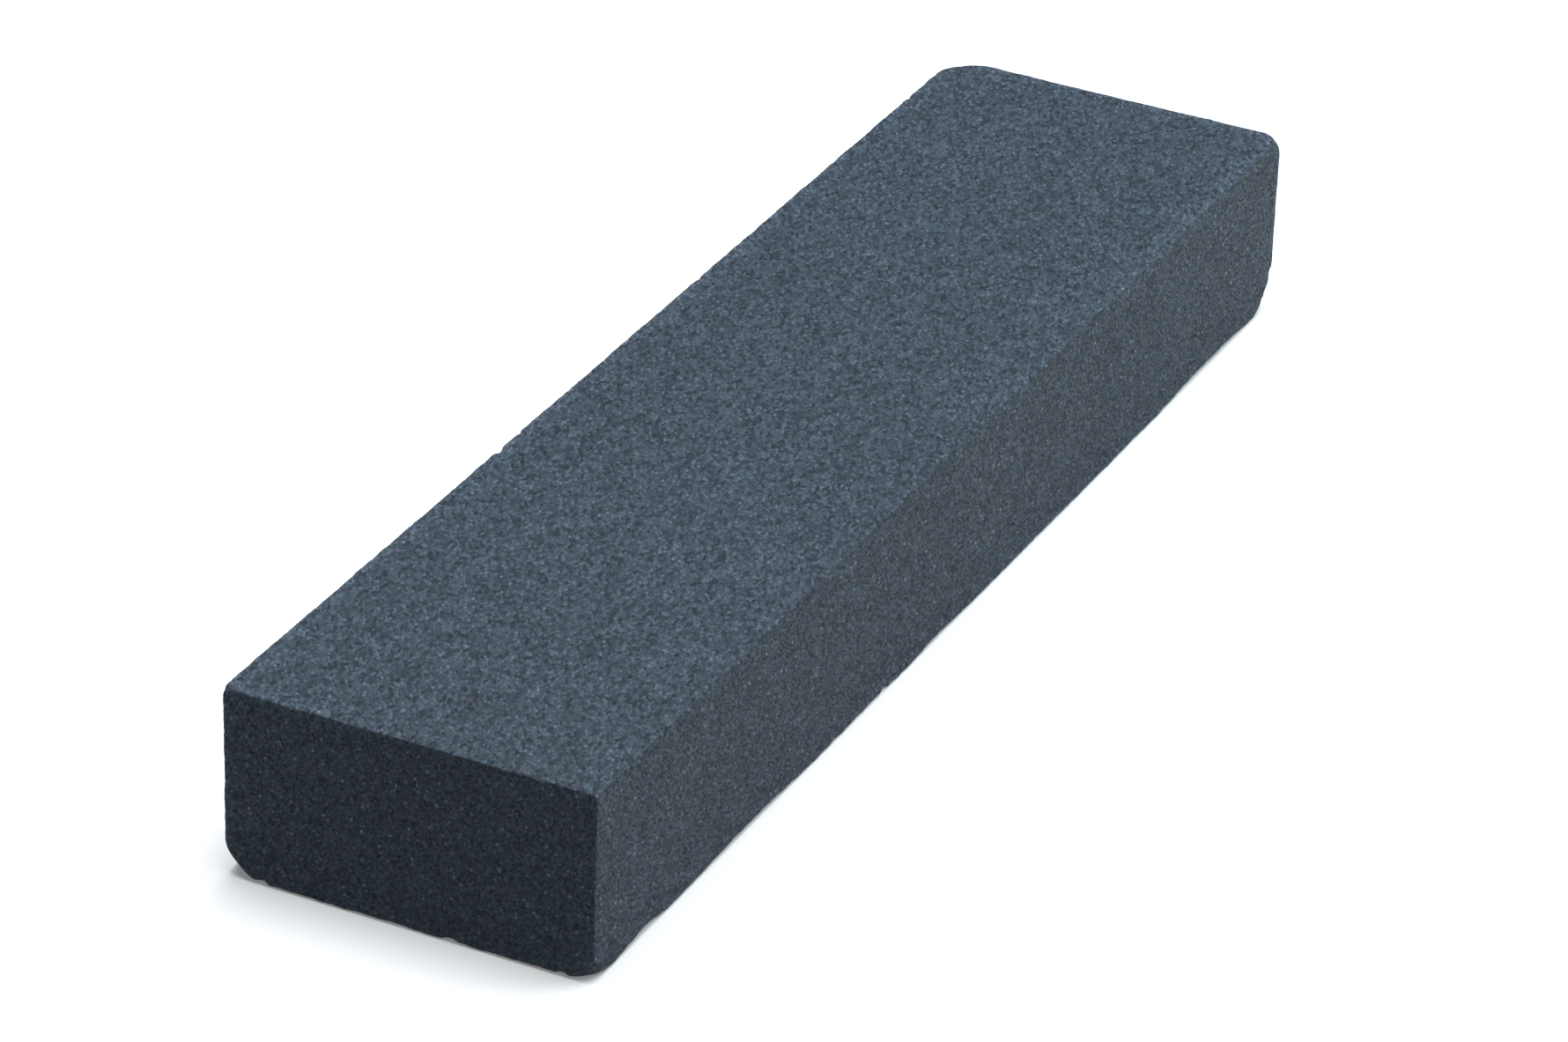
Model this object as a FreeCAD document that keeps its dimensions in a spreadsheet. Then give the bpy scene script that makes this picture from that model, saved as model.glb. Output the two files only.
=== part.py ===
"""Sharpening whetstone: one pressed and fired abrasive brick with worn corner tips.

Frame: the origin is the centre of the underside, +X runs along the length, +Y across the
width and +Z up. Sizes are in millimetres. "Near" is the end at -X and "far" the end at +X;
"right" is the side at -Y and "left" the side at +Y, as seen from the near end.
"""
import FreeCAD, Part

import os

import Sketcher

NODE = "abrasive_block"
SHEET = "Dimensions"

DIMENSIONS = {
    "block_length": 200.0,
    "block_width": 50.0,
    "block_height": 26.0,
    # Softened edges: the uprights and the rim of the honing face, then the rim of the base.
    "upper_edge_radius": 0.5,
    "base_edge_radius": 1.0,
    # A worn corner is a piece of a ball. Its reach is how far the wear runs along each of
    # the three edges, and the ball's centre lies ball_depth * reach inside each face.
    "ball_depth": 1.6,
    "near_left_base_reach": 5.5,
    "near_right_base_reach": 4.4,
    "far_left_base_reach": 5.0,
    "far_right_base_reach": 6.2,
    "far_left_top_reach": 5.8,
    "far_right_top_reach": 2.7,
    # How far each corner cutter stands out of the block.
    "cutter_overlap": 2.0,
}

# The worn corners, and the side of the block on which each lies along X, Y and Z. The two
# top corners of the near end are unworn.
LOW, HIGH = -1, 1
WORN_CORNERS = {
    "near_left_base": (LOW, HIGH, LOW),
    "near_right_base": (LOW, LOW, LOW),
    "far_left_base": (HIGH, HIGH, LOW),
    "far_right_base": (HIGH, LOW, LOW),
    "far_left_top": (HIGH, HIGH, HIGH),
    "far_right_top": (HIGH, LOW, HIGH),
}

EXACT = 1e-3


def cell(alias):
    """The expression that reads one driving dimension."""
    return f"{SHEET}.{alias}"


def add_sheet(doc):
    """Spreadsheet of the driving dimensions, one to a row."""
    sheet = doc.addObject("Spreadsheet::Sheet", SHEET)
    for row, (alias, value) in enumerate(DIMENSIONS.items(), start=1):
        sheet.set(f"A{row}", alias)
        sheet.set(f"B{row}", str(value))
        sheet.setAlias(f"B{row}", alias)
    doc.recompute()


def draw_footprint(sketch):
    """A rectangle of the block's length and width, centred on the sketch's origin."""
    half_length = DIMENSIONS["block_length"] / 2
    half_width = DIMENSIONS["block_width"] / 2
    corners = [
        FreeCAD.Vector(x_side * half_length, y_side * half_width, 0)
        for x_side, y_side in ((LOW, LOW), (HIGH, LOW), (HIGH, HIGH), (LOW, HIGH))
    ]
    lines = [
        sketch.addGeometry(Part.LineSegment(start, end), False)
        for start, end in zip(corners, corners[1:] + corners[:1])
    ]
    right, far, left, near = lines
    start_point, end_point = 1, 2
    sketch_origin = (-1, 1)
    for line, following in zip(lines, lines[1:] + lines[:1]):
        sketch.addConstraint(
            Sketcher.Constraint("Coincident", line, end_point, following, start_point)
        )
    for direction, pair in (("Horizontal", (right, left)), ("Vertical", (far, near))):
        for line in pair:
            sketch.addConstraint(Sketcher.Constraint(direction, line))
    sketch.addConstraint(
        Sketcher.Constraint("Symmetric", right, start_point, left, start_point, *sketch_origin)
    )
    for name, line, alias in (("Length", right, "block_length"), ("Width", far, "block_width")):
        index = sketch.addConstraint(Sketcher.Constraint("Distance", line, DIMENSIONS[alias]))
        sketch.renameConstraint(index, name)
        sketch.setExpression(f"Constraints.{name}", cell(alias))


def add_fillet(body, name, base, radius_alias, is_wanted):
    """Round those edges of the base feature whose middle is wanted."""
    wanted_edges = [
        f"Edge{number}"
        for number, edge in enumerate(base.Shape.Edges, start=1)
        if is_wanted(edge.CenterOfMass)
    ]
    fillet = body.newObject("PartDesign::Fillet", name)
    fillet.Base = (base, wanted_edges)
    fillet.setExpression("Radius", cell(radius_alias))
    body.Tip = fillet
    body.Document.recompute()
    return fillet


def add_brick(doc):
    """The unworn brick: a padded rectangle with softened edges."""
    body = doc.addObject("PartDesign::Body", "Brick")
    sketch = body.newObject("Sketcher::SketchObject", "Footprint")
    plane = next(item for item in body.Origin.OriginFeatures if item.Role == "XY_Plane")
    sketch.AttachmentSupport = [(plane, "")]
    sketch.MapMode = "FlatFace"
    draw_footprint(sketch)
    pad = body.newObject("PartDesign::Pad", "Thickness")
    pad.Profile = sketch
    pad.setExpression("Length", cell("block_height"))
    doc.recompute()
    upper = add_fillet(
        body, "UpperEdges", pad, "upper_edge_radius", lambda middle: middle.z > EXACT
    )
    add_fillet(body, "BaseEdges", upper, "base_edge_radius", lambda middle: middle.z < EXACT)
    return body


def add_corner_cutter(doc, corner, sides):
    """A box over one corner of the block, less the ball that the worn corner is part of."""
    inset = f"{cell('ball_depth')} * {cell(corner + '_reach')}"
    box_size = f"{inset} + {cell('cutter_overlap')}"
    ball_centre = (
        f"{sides[0]} * ({cell('block_length')} / 2 - {inset})",
        f"{sides[1]} * ({cell('block_width')} / 2 - {inset})",
        f"{cell('block_height')} / 2 + {sides[2]} * ({cell('block_height')} / 2 - {inset})",
    )
    ball = doc.addObject("Part::Sphere", f"{corner}_ball")
    # The ball passes through the three edges at the reach, so its radius is the distance
    # from its centre to such a point.
    ball.setExpression(
        "Radius",
        f"{cell(corner + '_reach')}"
        f" * sqrt(2 * {cell('ball_depth')} ^ 2 + ({cell('ball_depth')} - 1) ^ 2)",
    )
    box = doc.addObject("Part::Box", f"{corner}_box")
    for size in ("Length", "Width", "Height"):
        box.setExpression(size, box_size)
    for axis, side, middle in zip("xyz", sides, ball_centre):
        ball.setExpression(f"Placement.Base.{axis}", middle)
        low_corner = middle if side == HIGH else f"{middle} - ({box_size})"
        box.setExpression(f"Placement.Base.{axis}", low_corner)
    cutter = doc.addObject("Part::Cut", f"{corner}_cutter")
    cutter.Base = box
    cutter.Tool = ball
    return cutter


def add_block(doc):
    """The finished stone: the brick with its worn corners cut away."""
    cutters = doc.addObject("Part::MultiFuse", "corner_cutters")
    cutters.Shapes = [
        add_corner_cutter(doc, corner, sides) for corner, sides in WORN_CORNERS.items()
    ]
    block = doc.addObject("Part::Cut", NODE)
    block.Label = NODE
    block.Base = add_brick(doc)
    block.Tool = cutters
    doc.recompute()
    return block


def check(doc, block):
    """Stop before anything is written if a feature failed or the stone isn't as planned."""
    failed = [
        item.Name for item in doc.Objects if "Invalid" in item.State or "Error" in item.State
    ]
    if failed:
        raise RuntimeError(f"these objects failed: {failed}")
    shape = block.Shape
    if shape.isNull() or not shape.isValid() or len(shape.Solids) != 1:
        raise RuntimeError("the block isn't one valid solid")
    box = shape.optimalBoundingBox(False, False)
    for measured, alias in (
        (box.XLength, "block_length"), (box.YLength, "block_width"), (box.ZLength, "block_height")
    ):
        if abs(measured - DIMENSIONS[alias]) > EXACT:
            raise RuntimeError(f"{alias} measures {measured:.3f}")


def main():
    doc = FreeCAD.newDocument("Whetstone")
    add_sheet(doc)
    block = add_block(doc)
    check(doc, block)
    os.makedirs("parts", exist_ok=True)
    block.Shape.exportStep(f"parts/{NODE}.step")
    print(f"{NODE}: {block.Shape.Volume / 1000:.2f} cm3, {len(block.Shape.Faces)} faces")


main()
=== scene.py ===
"""Sharpening whetstone: the look of the stone, its floor, its light and its camera.

The frame is in metres: +X along the stone, +Y across it, +Z up, and the stone stands on
z = 0. The stone's own shape is worked out in millimetres. "Near" is the end at -X, "far"
the end at +X, "right" the side at -Y and "left" the side at +Y.
"""
import math
import random

import bmesh
import bpy
import numpy as np
from mathutils import Matrix, Vector, noise


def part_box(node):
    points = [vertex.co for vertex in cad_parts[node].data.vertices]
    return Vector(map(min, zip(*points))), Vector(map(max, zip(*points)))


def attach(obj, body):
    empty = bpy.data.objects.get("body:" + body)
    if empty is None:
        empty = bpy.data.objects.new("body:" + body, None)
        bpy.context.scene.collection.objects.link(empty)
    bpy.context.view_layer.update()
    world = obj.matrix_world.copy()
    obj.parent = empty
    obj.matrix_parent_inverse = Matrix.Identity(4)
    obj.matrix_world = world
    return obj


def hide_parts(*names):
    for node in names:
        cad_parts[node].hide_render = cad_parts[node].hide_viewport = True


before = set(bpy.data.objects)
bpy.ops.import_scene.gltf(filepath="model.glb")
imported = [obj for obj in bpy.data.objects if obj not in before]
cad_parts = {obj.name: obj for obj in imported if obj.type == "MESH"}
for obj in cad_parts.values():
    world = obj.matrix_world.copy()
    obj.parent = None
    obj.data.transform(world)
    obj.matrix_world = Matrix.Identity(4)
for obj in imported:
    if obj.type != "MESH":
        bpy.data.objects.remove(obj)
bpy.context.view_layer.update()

MM = 0.001
NODE = "abrasive_block"
LOW_CORNER, HIGH_CORNER = (np.array(corner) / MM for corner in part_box(NODE))
LENGTH, WIDTH, HEIGHT = HIGH_CORNER - LOW_CORNER
CENTRE = (LOW_CORNER + HIGH_CORNER) / 2

# ---------------------------------------------------------------- the stone's shape, in mm

# Distances from an edge at which the mesh has a line, and its spacing further in.
EDGE_LINES = (0, 0.12, 0.26, 0.42, 0.62, 0.88, 1.2, 1.7, 2.4)
FACE_SPACING = 1.1
# Within this distance of an edge the mesh is finer along it too: each of its lines that is
# longer than the shortest cut is cut this many times.
RIM = 1.21
RIM_CUTS = 3
SHORTEST_CUT = 0.6

# A corner is (end, side, level), each 0 for low and 1 for high. The radius of the edges
# changes evenly from corner to corner.
EDGE_RADII = {
    (0, 0, 0): 0.65, (0, 1, 0): 0.75, (1, 0, 0): 0.45, (1, 1, 0): 0.8,
    (0, 0, 1): 0.3, (0, 1, 1): 0.35, (1, 0, 1): 0.3, (1, 1, 1): 0.55,
}
SMALLEST_RADIUS = 0.12
# Noise that makes the radius vary along the edges: (feature size, share of the radius, seed).
RADIUS_NOISE = ((9.0, 0.35, 1), (2.0, 0.45, 2))
# Stretches of the right base edge that are rubbed rounder: (middle along X, reach, extra
# radius), and how steeply the extra radius sets in.
RUBBED_STRETCHES = ((-87.0, 6.0, 0.8), (-58.0, 15.0, 0.6), (-6.0, 7.0, 0.45), (80.0, 18.0, 0.9))
RUBBED_STEEPNESS = 1.3
# A worn corner is a piece of a ball that runs this far along each of the corner's edges.
CORNER_REACH = {
    (0, 1, 0): 5.5,
    (0, 0, 0): 4.4,
    (1, 1, 0): 5.0,
    (1, 0, 0): 6.2,
    (1, 1, 1): 5.8,
    (1, 0, 1): 2.7,
}
# The ball's centre lies this many reaches inside each face, and it blends in this softly.
BALL_DEPTH = 1.6
CORNER_SOFTNESS = 0.3
# The ball is uneven: feature size, height and seed.
BALL_NOISE_SIZE, BALL_NOISE_HEIGHT, BALL_NOISE_SEED = 2.5, 0.12, 3

# Relief of the faces, all of it inward: (feature size, depth, seed).
RELIEF = ((9.0, 0.03, 5), (3.2, 0.03, 6))
# The grain of the edges, inward too: feature size, depth and seed. It is at full depth over
# the outer half of the rim.
EDGE_GRAIN, EDGE_GRAIN_DEPTH, EDGE_GRAIN_SEED = 0.55, 0.09, 9

# Small chips at random places along the edges. The higher the crowding, the more of them
# are near the smaller radius. The depth is a share of the radius: the least, and the most
# that is added to it at random.
CHIP_COUNT = 110
CHIP_SEED = 11
CHIP_RADII = (0.35, 1.2)
CHIP_CROWDING = 3
LEAST_CHIP_DEPTH, ADDED_CHIP_DEPTH = 0.15, 0.2
# One more chip, at the near end's top left corner: (corner, radius, depth).
CORNER_CHIP = ((0, 1, 1), 1.0, 0.35)

# How pale the edges are near each corner: partly rubbed, and partly a painted highlight where
# the rounded rims catch the light, which is why it differs from corner to corner. Also how far
# in that reaches and how steeply it falls, and how much lighter a paleness of 1 makes the
# stone. Paleness below 0 counts as 0: it only moves the place where 0 begins.
EDGE_PALENESS = {
    (0, 0, 0): 0.5, (0, 1, 0): 0.8, (1, 0, 0): 0.9, (1, 1, 0): 0.8,
    (0, 0, 1): -0.8, (0, 1, 1): 0.8, (1, 0, 1): 0.75, (1, 1, 1): 0.9,
}
PALE_WIDTH = 3.0
PALE_FALL = 1.5
WEAR_AND_HIGHLIGHT_LIGHTENING = 0.65

# How far the noise shifts from one seed to the next, in features of it.
NOISE_STEP = (17.3, 5.7, 11.1)


def stations(length):
    """Positions of the mesh lines across one side of the block, from 0 to length."""
    rim = np.array(EDGE_LINES)
    inner_count = int(round((length - 2 * rim[-1]) / FACE_SPACING))
    inner = np.linspace(rim[-1], length - rim[-1], inner_count + 1)
    return np.concatenate([rim[:-1], inner, (length - rim[:-1])[::-1]])


def box_lattice():
    """Points and quads of the unworn block's surface, as one closed mesh."""
    lines = [low + stations(size) for low, size in zip(LOW_CORNER, (LENGTH, WIDTH, HEIGHT))]
    last = [len(line) - 1 for line in lines]
    points, index, quads = [], {}, []

    def point_at(place):
        key = tuple(place)
        if key not in index:
            index[key] = len(points)
            points.append([line[step] for line, step in zip(lines, key)])
        return index[key]

    for axis in range(3):
        first, second = (axis + 1) % 3, (axis + 2) % 3
        for level in (0, last[axis]):
            for a in range(last[first]):
                for b in range(last[second]):
                    quad = []
                    for step_a, step_b in ((0, 0), (1, 0), (1, 1), (0, 1)):
                        place = [0, 0, 0]
                        place[axis] = level
                        place[first] = a + step_a
                        place[second] = b + step_b
                        quad.append(point_at(place))
                    quads.append(quad if level else quad[::-1])
    return points, quads


def from_edges(points):
    """How far each point of the block's surface is from the nearest of its twelve edges."""
    from_faces = np.minimum(points - LOW_CORNER, HIGH_CORNER - points)
    return np.sort(from_faces, axis=1)[:, 1]


def unworn_block():
    """The unworn block as a bmesh whose rims are finer along the edges."""
    points, quads = box_lattice()
    block = bmesh.new()
    corners = [block.verts.new(point) for point in points]
    for quad in quads:
        block.faces.new([corners[number] for number in quad])
    block.verts.index_update()
    on_rim = from_edges(np.array(points)) < RIM
    long_edges = [
        edge for edge in block.edges
        if all(on_rim[vertex.index] for vertex in edge.verts)
        and edge.calc_length() > SHORTEST_CUT
    ]
    bmesh.ops.subdivide_edges(
        block, edges=long_edges, cuts=RIM_CUTS, use_grid_fill=True, use_single_edge=True
    )
    return block


def smooth(amount):
    """Ease from 0 to 1 over amounts from 0 to 1."""
    amount = np.clip(amount, 0, 1)
    return amount * amount * (3 - 2 * amount)


def perlin(points, size, seed):
    """Smooth noise from -1 to 1 with features of about that size."""
    offset = Vector(NOISE_STEP) * seed
    return np.array([noise.noise(Vector(point) / size + offset) for point in points])


def corner_position(corner):
    """Where a corner of the block is, in mm."""
    return LOW_CORNER + np.array(corner) * (HIGH_CORNER - LOW_CORNER)


def between_corners(points, values):
    """A value given at each of the eight corners, blended over the block."""
    share = (points - LOW_CORNER) / (HIGH_CORNER - LOW_CORNER)
    blend = np.zeros(len(points))
    for corner, value in values.items():
        blend += value * np.where(corner, share, 1 - share).prod(axis=1)
    return blend


def edge_radius(points):
    """The edge radius that applies at each point of the unworn block."""
    radius = between_corners(points, EDGE_RADII)
    variation = 1
    for size, share, seed in RADIUS_NOISE:
        variation = variation + share * perlin(points, size, seed)
    radius *= variation
    for middle, reach, extra in RUBBED_STRETCHES:
        place = np.array((middle, LOW_CORNER[1], LOW_CORNER[2]))
        distance = np.linalg.norm(points - place, axis=1)
        radius += extra * smooth(RUBBED_STEEPNESS * (1 - distance / reach))
    return np.maximum(radius, SMALLEST_RADIUS)[:, None]


def round_edges(points):
    """The block's points moved onto its rounded edges, and the way out at each of them."""
    radius = edge_radius(points)
    inner = np.clip(points, LOW_CORNER + radius, HIGH_CORNER - radius)
    outward = points - inner
    outward /= np.linalg.norm(outward, axis=1)[:, None]
    return inner + radius * outward, outward


def wear_corner(points, corner, reach):
    """Points that stand out of one worn corner's ball, brought back to it."""
    inward = 1 - 2 * np.array(corner)
    middle = corner_position(corner) + inward * BALL_DEPTH * reach
    ball_radius = reach * math.sqrt(2 * BALL_DEPTH ** 2 + (BALL_DEPTH - 1) ** 2)
    offset = points - middle
    distance = np.linalg.norm(offset, axis=1)
    beyond = distance - ball_radius
    beyond += BALL_NOISE_HEIGHT * perlin(points, BALL_NOISE_SIZE, BALL_NOISE_SEED)
    blend = (beyond + CORNER_SOFTNESS).clip(0, 2 * CORNER_SOFTNESS) ** 2 / (4 * CORNER_SOFTNESS)
    cut = np.where(beyond > CORNER_SOFTNESS, beyond, blend)
    cut *= (offset * inward < 0).all(axis=1)
    return points - offset * (cut / distance)[:, None]


def random_chips():
    """Chips along the block's edges: (place, radius, depth)."""
    draw = random.Random(CHIP_SEED)
    sizes = (LENGTH, WIDTH, HEIGHT)
    corner, radius, depth = CORNER_CHIP
    chips = [(corner_position(corner), radius, depth)]
    for _ in range(CHIP_COUNT):
        axis = draw.choices((0, 1, 2), weights=sizes)[0]
        place = corner_position([draw.choice((0, 1)) for _ in range(3)])
        place[axis] = LOW_CORNER[axis] + draw.random() * sizes[axis]
        smallest, largest = CHIP_RADII
        radius = smallest + (largest - smallest) * draw.random() ** CHIP_CROWDING
        depth = radius * (LEAST_CHIP_DEPTH + ADDED_CHIP_DEPTH * draw.random())
        chips.append((place, radius, depth))
    return chips


def hollows(points, size, seed):
    """Smooth noise from 0 to 1 with features of about that size."""
    return 0.5 + 0.5 * perlin(points, size, seed)


def worn_points(points):
    """The unworn block's points moved onto the worn stone."""
    surface, outward = round_edges(points)
    sunk = np.zeros(len(points))
    for size, depth, seed in RELIEF:
        sunk += depth * hollows(surface, size, seed)
    at_rim = smooth(2 * (1 - from_edges(points) / RIM))
    sunk += EDGE_GRAIN_DEPTH * at_rim * hollows(surface, EDGE_GRAIN, EDGE_GRAIN_SEED)
    for place, chip_radius, depth in random_chips():
        distance = np.linalg.norm(surface - place, axis=1)
        sunk += depth * np.clip(1 - (distance / chip_radius) ** 2, 0, 1)
    surface = surface - outward * sunk[:, None]
    for corner, reach in CORNER_REACH.items():
        surface = wear_corner(surface, corner, reach)
    return surface


def edge_wear_and_highlight(points):
    """How pale each point is, partly from rubbing and partly a painted highlight on the rims:
    most on an edge, none past the pale width.
    """
    closeness = np.clip(1 - from_edges(points) / PALE_WIDTH, 0, 1)
    return closeness ** PALE_FALL * np.maximum(between_corners(points, EDGE_PALENESS), 0)


def make_stone():
    """The stone as one smooth-shaded mesh that also says how pale each point is."""
    block = unworn_block()
    points = np.array([vertex.co for vertex in block.verts])
    for vertex, place in zip(block.verts, worn_points(points) * MM):
        vertex.co = place
    for face in block.faces:
        face.smooth = True
    mesh = bpy.data.meshes.new("whetstone")
    block.to_mesh(mesh)
    block.free()
    # Paleness of the edges: partly rubbed, partly a painted highlight on the rims.
    wear_and_highlight = mesh.attributes.new("edge_wear_and_highlight", "FLOAT", "POINT")
    wear_and_highlight.data.foreach_set("value", edge_wear_and_highlight(points))
    stone = bpy.data.objects.new("whetstone", mesh)
    bpy.context.scene.collection.objects.link(stone)
    return stone


# ---------------------------------------------------------------- the stone's material

# The stone's colour, which the tones and tints below vary.
STONE_COLOUR = (0.0448, 0.0645, 0.0905)
# Sizes in mm of the grains and of the facets on them, the direction in which both are
# longer, and how many times longer they are in it.
GRAIN = 0.42
SPECK = 0.23
GRAIN_DIRECTION = (-0.79, -0.38, 0.48)
GRAIN_LENGTH = 2.5

# How light the grains are, from the darkest to the lightest: (rank among them, lightness).
# The gain brings their average to about 0.9.
GRAIN_TONES = ((0.0, 0.17), (0.15, 0.29), (0.5, 0.46), (0.85, 0.60), (1.0, 0.77))
TONE_GAIN = 2.02
# Painted shade: a grain is lighter in its middle and darker at its rim, as if its crown
# caught the light and the hollows round it lay in shade. Distances are in grain sizes.
GRAIN_MIDDLE, GRAIN_EDGE = 0.1, 0.6
GRAIN_CROWN_HIGHLIGHT, GRAIN_RIM_SHADE = 1.20, 0.76
# The darkest and the lightest facet.
SPECK_TONES = (0.74, 1.26)
# Soft patches: (size in mm, detail, darkest, lightest). The fine ones are longer in the
# grains' direction, as the glints are.
FINE_PATCHES = (1.6, 2.0, 0.90, 1.10)
BROAD_PATCHES = (22.0, 2.0, 0.96, 1.04)
# The part of the noise's range that is spread over a patch's tones. Past it, the tone is
# the darkest or the lightest.
NOISE_RANGE = (0.3, 0.7)
# Tint of a grain whose hue and lightness are both 0, and how a hue of 1 changes its red and
# green and a lightness of 1 its blue. A lightness of 1 also adds this much red.
BASE_TINT = (1.03, 0.975, 1.06)
TINT_CHANGE = (-0.24, 0.05, -0.12)
LIGHT_GRAIN_RED = 0.18

# Glints: how far apart they are, in mm, how much the brightest lightens the colour, which
# is a painted highlight, and how much shinier it is.
GLINT_SPACING = 0.8
GLINT_PAINTED_HIGHLIGHT = 0.7
GLINT_SHINE = 0.36
# A glint is full inside the first distance and gone at the second, in spacings. A cell whose
# random strength is below the faintest has none.
GLINT_CORE, GLINT_RIM = 0.1, 0.34
FAINTEST_GLINT = 0.35

# The roughness of the shiniest and the dullest facet, and the specular level between glints.
ROUGHNESS = (0.55, 0.95)
SPECULAR = 0.3
# Bump: its depth in mm and its strength, how far a grain's crown reaches from its middle, in
# grain sizes, how high the lowest grain is next to the highest, and what a facet can add.
BUMP_DEPTH = 0.12
BUMP_STRENGTH = 0.5
CROWN_REACH = 0.7
LOWEST_GRAIN = 0.4
SPECK_HEIGHT = 0.35


class Nodes:
    """Short spellings for building a node tree."""

    def __init__(self, tree):
        self.tree = tree

    def add(self, kind, settings=None, **inputs):
        node = self.tree.nodes.new(kind)
        for name, value in (settings or {}).items():
            setattr(node, name, value)
        for name, value in inputs.items():
            self.feed(node.inputs[name.replace("_", " ")], value)
        return node

    def feed(self, socket, value):
        if isinstance(value, bpy.types.NodeSocket):
            self.tree.links.new(value, socket)
        else:
            socket.default_value = value

    def maths(self, operation, *values):
        node = self.add("ShaderNodeMath", {"operation": operation})
        for socket, value in zip(node.inputs, values):
            self.feed(socket, value)
        return node.outputs["Value"]

    def vectors(self, operation, *values, output="Vector", scale=None):
        node = self.add("ShaderNodeVectorMath", {"operation": operation})
        for socket, value in zip(node.inputs, values):
            self.feed(socket, value)
        if scale is not None:
            self.feed(node.inputs["Scale"], scale)
        return node.outputs[output]

    def remap(self, value, low, high, to_low, to_high):
        node = self.add("ShaderNodeMapRange")
        self.feed(node.inputs["Value"], value)
        ends = {"From Min": low, "From Max": high, "To Min": to_low, "To Max": to_high}
        for name, number in ends.items():
            node.inputs[name].default_value = number
        return node.outputs["Result"]

    def ramp(self, value, stops):
        node = self.add("ShaderNodeValToRGB")
        elements = node.color_ramp.elements
        while len(elements) < len(stops):
            elements.new(0.5)
        for element, (position, grey) in zip(elements, stops):
            element.position = position
            element.color = (grey, grey, grey, 1)
        self.feed(node.inputs["Fac"], value)
        return node.outputs["Color"]

    def grains(self, place, size):
        """Cells of that size: three random numbers for each, and the distance from its middle."""
        cells = self.add("ShaderNodeTexVoronoi", Vector=place, Scale=1 / size)
        split = self.add("ShaderNodeSeparateColor", Color=cells.outputs["Color"])
        random_numbers = [split.outputs[name] for name in ("Red", "Green", "Blue")]
        return random_numbers, cells.outputs["Distance"]

    def clouds(self, place, size, detail, low, high):
        """Smooth noise of that size, spread from low to high."""
        noise_node = self.add("ShaderNodeTexNoise", Vector=place, Scale=1 / size, Detail=detail)
        return self.remap(noise_node.outputs["Fac"], *NOISE_RANGE, low, high)


def grain_space(make):
    """Places on the stone in mm, as they are and squeezed along the grains."""
    place = make.add("ShaderNodeTexCoord").outputs["Object"]
    in_mm = make.vectors("SCALE", place, scale=1 / MM)
    along = make.vectors("DOT_PRODUCT", in_mm, GRAIN_DIRECTION, output="Value")
    excess = make.maths("MULTIPLY", along, 1 - 1 / GRAIN_LENGTH)
    squeeze = make.add("ShaderNodeCombineXYZ", X=excess, Y=excess, Z=excess).outputs["Vector"]
    squeeze = make.vectors("MULTIPLY", squeeze, GRAIN_DIRECTION)
    return in_mm, make.vectors("SUBTRACT", in_mm, squeeze)


def glints(make, place):
    """Small dots here and there, from 0 on the stone around them to 1 on the strongest."""
    (strength, _, _), from_middle = make.grains(place, GLINT_SPACING)
    dot = make.remap(from_middle, GLINT_CORE, GLINT_RIM, 1, 0)
    return make.maths("MULTIPLY", make.remap(strength, FAINTEST_GLINT, 1, 0, 1), dot)


def stone_tone(make, in_mm, squeezed, grain, from_middle, speck, glint):
    """How light the stone is: by grain, with painted shade at each grain's rim, by speck, with a
    painted highlight at glints, in patches, and on edges that are partly rubbed and partly
    painted highlight.
    """
    grain_tone = make.ramp(grain, GRAIN_TONES)
    # Edge paleness: partly rubbed, partly a painted highlight on the rims.
    wear_and_highlight = make.add("ShaderNodeAttribute", {"attribute_name": "edge_wear_and_highlight"}).outputs["Fac"]
    tone = make.maths("MULTIPLY", grain_tone, TONE_GAIN)
    for factor in (
        # Painted shade: darker at each grain's rim, lighter on its crown.
        make.remap(from_middle, GRAIN_MIDDLE, GRAIN_EDGE, GRAIN_CROWN_HIGHLIGHT, GRAIN_RIM_SHADE),
        make.remap(speck, 0, 1, *SPECK_TONES),
        # Painted highlight: glints lighten the colour.
        make.maths("MULTIPLY_ADD", glint, GLINT_PAINTED_HIGHLIGHT, 1.0),
        make.clouds(squeezed, *FINE_PATCHES),
        make.clouds(in_mm, *BROAD_PATCHES),
        # Edges lighter, partly from rubbing and partly a painted highlight on the rims.
        make.maths("MULTIPLY_ADD", wear_and_highlight, WEAR_AND_HIGHLIGHT_LIGHTENING, 1.0),
    ):
        tone = make.maths("MULTIPLY", tone, factor)
    return tone


def stone_colour(make, grain, hue, tone):
    """Slate blue of that lightness: greyer in light grains, and redder or greener by hue."""
    spread = make.add("ShaderNodeCombineXYZ", X=hue, Y=hue, Z=grain).outputs["Vector"]
    tint = make.vectors("MULTIPLY_ADD", spread, TINT_CHANGE, BASE_TINT)
    greyer = make.maths("MULTIPLY", grain, LIGHT_GRAIN_RED)
    redder = make.add("ShaderNodeCombineXYZ", X=greyer).outputs["Vector"]
    tint = make.vectors("ADD", tint, redder)
    return make.vectors("SCALE", make.vectors("MULTIPLY", tint, STONE_COLOUR), scale=tone)


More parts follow.
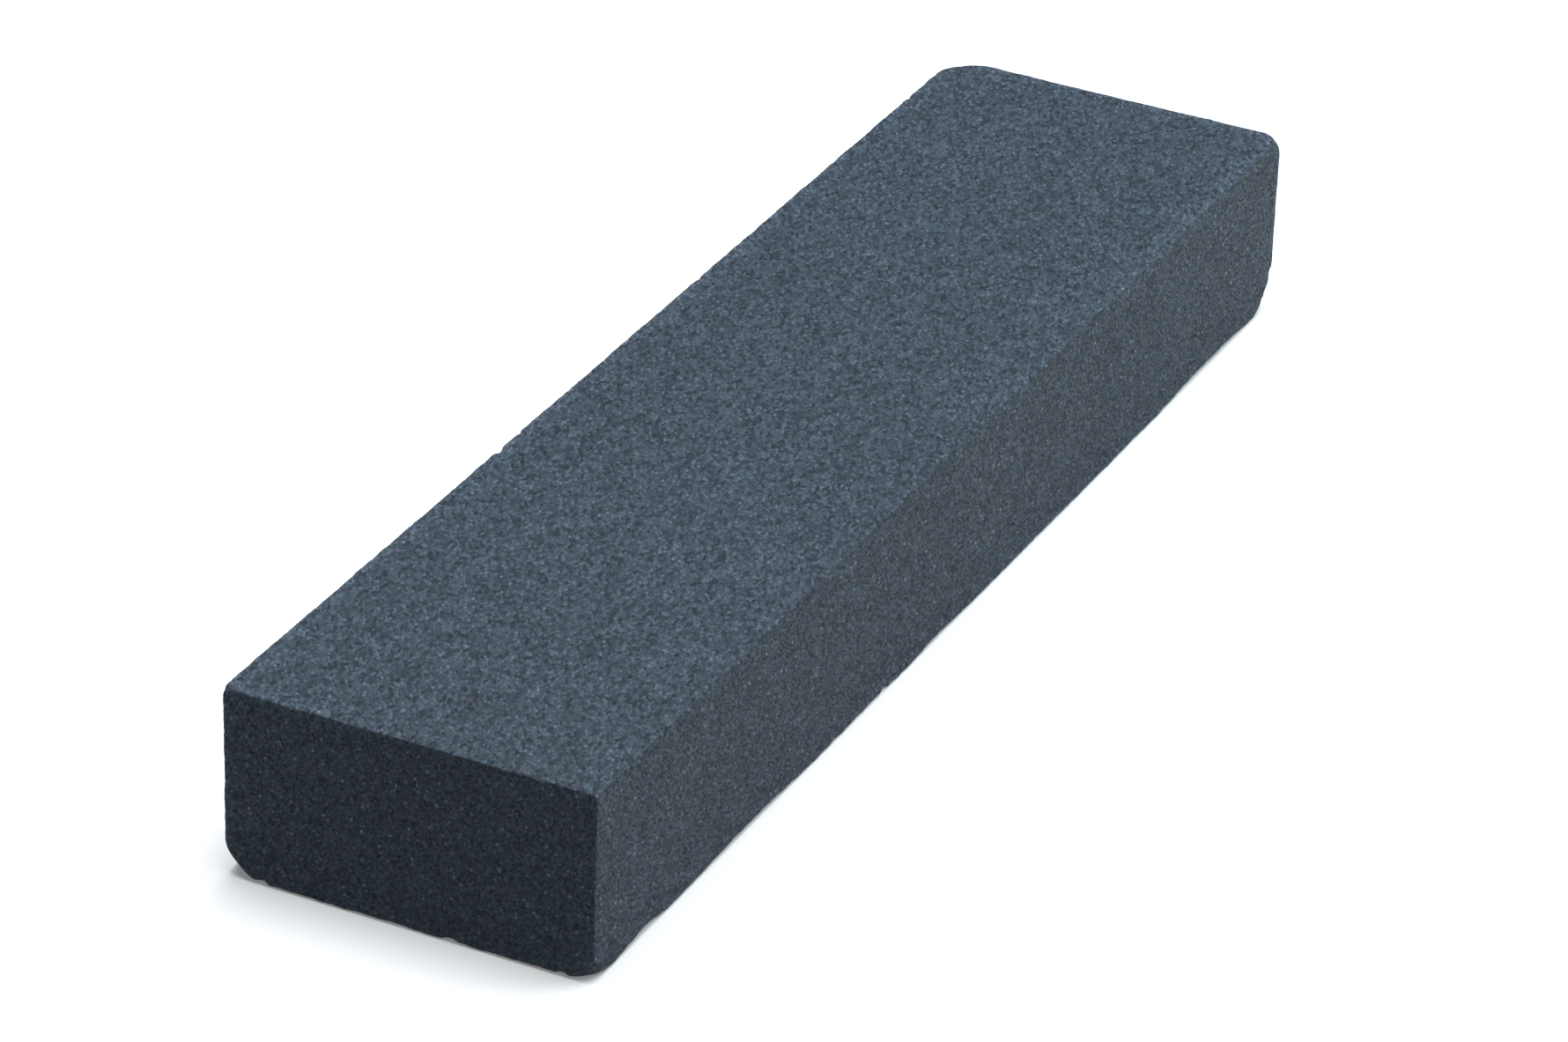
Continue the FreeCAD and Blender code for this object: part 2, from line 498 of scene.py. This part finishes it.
def abrasive_material():
    """Dark silicon carbide: grains with crowns and facets and painted shade at their rims, shiny
    glints with a painted highlight, and pale edges that are partly rubbed and partly painted
    highlight.
    """
    material = bpy.data.materials.new("silicon_carbide")
    material.use_nodes = True
    tree = material.node_tree
    tree.nodes.clear()
    make = Nodes(tree)

    in_mm, squeezed = grain_space(make)
    (grain_light, grain_height, grain_hue), from_middle = make.grains(squeezed, GRAIN)
    (speck_light, speck_height, speck_gloss), _ = make.grains(squeezed, SPECK)
    glint = glints(make, squeezed)
    tone = stone_tone(make, in_mm, squeezed, grain_light, from_middle, speck_light, glint)

    crown = make.remap(from_middle, 0, CROWN_REACH, 1, 0)
    crown = make.maths("MULTIPLY", crown, make.remap(grain_height, 0, 1, LOWEST_GRAIN, 1))
    relief = make.maths("MULTIPLY_ADD", speck_height, SPECK_HEIGHT, crown)
    bump = make.add(
        "ShaderNodeBump", Strength=BUMP_STRENGTH, Distance=BUMP_DEPTH * MM, Height=relief
    )

    dullness = make.remap(speck_gloss, 0, 1, *ROUGHNESS)
    surface = make.add(
        "ShaderNodeBsdfPrincipled",
        Base_Color=stone_colour(make, grain_light, grain_hue, tone),
        Roughness=make.maths("MULTIPLY", dullness, make.remap(glint, 0, 1, 1, 1 - GLINT_SHINE)),
        Specular_IOR_Level=make.remap(glint, 0, 1, SPECULAR, SPECULAR + GLINT_SHINE),
        Normal=bump.outputs["Normal"],
    )
    make.add("ShaderNodeOutputMaterial", Surface=surface.outputs["BSDF"])
    return material


# ---------------------------------------------------------------- floor, light and camera

FLOOR_COLOUR = (0.92, 0.92, 0.92, 1.0)
FLOOR_ROUGHNESS = 0.9
FLOOR_SPECULAR = 0.1
# The floor is a weak light table, which keeps the shadow on it faint.
FLOOR_GLOW_COLOUR = (1.0, 1.0, 1.0, 1.0)
FLOOR_GLOW = 0.15
FLOOR_SIZE = 8.0

# Softboxes: place and size in metres, power in watts, and colour.
OVERHEAD_SOFTBOX = ((0.12, -0.05, 1.3), 1.2, 25.2, (0.95, 0.98, 1.0))
SIDE_SOFTBOX = ((0.33, -0.43, 0.26), 0.45, 1.72, (0.83, 0.98, 1.0))
# What the camera sees behind the floor, and the even light that comes from everywhere.
BACKDROP_COLOUR = (0.9, 0.9, 0.9, 1)
FILL_COLOUR = (0.95, 0.99, 1.0, 1)
FILL_STRENGTH = 0.173


def floor_material():
    material = bpy.data.materials.new("pale_floor")
    material.use_nodes = True
    surface = material.node_tree.nodes["Principled BSDF"]
    surface.inputs["Base Color"].default_value = FLOOR_COLOUR
    surface.inputs["Roughness"].default_value = FLOOR_ROUGHNESS
    surface.inputs["Specular IOR Level"].default_value = FLOOR_SPECULAR
    surface.inputs["Emission Color"].default_value = FLOOR_GLOW_COLOUR
    surface.inputs["Emission Strength"].default_value = FLOOR_GLOW
    return material


def add_floor():
    """A square floor under the stone. It is left out of the stone's diffuse light."""
    half = FLOOR_SIZE / 2
    mesh = bpy.data.meshes.new("floor")
    corners = [(-half, -half, 0), (half, -half, 0), (half, half, 0), (-half, half, 0)]
    mesh.from_pydata(corners, [], [(0, 1, 2, 3)])
    mesh.materials.append(floor_material())
    floor = bpy.data.objects.new("floor", mesh)
    bpy.context.scene.collection.objects.link(floor)
    floor.visible_diffuse = False


def add_softbox(name, place, size, power, colour):
    """A square area light that faces the stone."""
    lamp = bpy.data.lights.new(name, "AREA")
    lamp.shape = "SQUARE"
    lamp.size = size
    lamp.energy = power
    lamp.color = colour
    softbox = bpy.data.objects.new(name, lamp)
    softbox.location = place
    towards = Vector(CENTRE * MM) - softbox.location
    softbox.rotation_euler = towards.to_track_quat("-Z", "Y").to_euler()
    bpy.context.scene.collection.objects.link(softbox)


def add_light():
    """The softboxes, the even fill, and a pale backdrop that only the camera sees."""
    add_softbox("overhead_softbox", *OVERHEAD_SOFTBOX)
    add_softbox("side_softbox", *SIDE_SOFTBOX)
    world = bpy.data.worlds.new("studio")
    world.use_nodes = True
    make = Nodes(world.node_tree)
    nodes = world.node_tree.nodes
    backdrop = nodes["Background"]
    backdrop.inputs["Color"].default_value = BACKDROP_COLOUR
    fill = make.add("ShaderNodeBackground", Color=FILL_COLOUR, Strength=FILL_STRENGTH)
    seen = make.add("ShaderNodeLightPath").outputs["Is Camera Ray"]
    either = make.add("ShaderNodeMixShader")
    make.feed(either.inputs[0], seen)
    make.feed(either.inputs[1], fill.outputs[0])
    make.feed(either.inputs[2], backdrop.outputs[0])
    make.feed(nodes["World Output"].inputs["Surface"], either.outputs[0])
    bpy.context.scene.world = world
    bpy.context.scene.view_settings.view_transform = "Standard"


# The camera's place round the stone: azimuth 0 looks along +Y. Angles are in degrees, and
# distances, the lens and the sensor in mm. The far clip is in metres.
CAMERA_AZIMUTH = -64.346
CAMERA_ELEVATION = 29.094
CAMERA_ROLL = 2.108
CAMERA_DISTANCE = 903.0
# How far the camera's axis passes from the stone's centre, across and up.
CAMERA_OFFSET = (-0.697, -5.345)
LENS = 161.76
SENSOR_WIDTH = 36.0
FAR_CLIP = 50.0


def add_camera():
    """The camera, turned about its own axis by the roll."""
    azimuth, elevation = math.radians(CAMERA_AZIMUTH), math.radians(CAMERA_ELEVATION)
    back = Vector((
        math.sin(azimuth) * math.cos(elevation),
        -math.cos(azimuth) * math.cos(elevation),
        math.sin(elevation),
    ))
    right = Vector((0, 0, 1)).cross(back).normalized()
    turn = Matrix.Rotation(math.radians(CAMERA_ROLL), 3, back)
    right = turn @ right
    up = back.cross(right)
    across, rise = CAMERA_OFFSET
    place = Vector(CENTRE) + across * right + rise * up + CAMERA_DISTANCE * back
    data = bpy.data.cameras.new("camera")
    data.lens = LENS
    data.sensor_width = SENSOR_WIDTH
    data.clip_end = FAR_CLIP
    camera = bpy.data.objects.new("camera", data)
    rotation = Matrix((right, up, back)).transposed().to_4x4()
    camera.matrix_world = Matrix.Translation(place * MM) @ rotation
    bpy.context.scene.collection.objects.link(camera)
    bpy.context.scene.camera = camera


stone = make_stone()
stone.data.materials.append(abrasive_material())
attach(stone, "root")
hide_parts(NODE)
add_floor()
add_light()
add_camera()
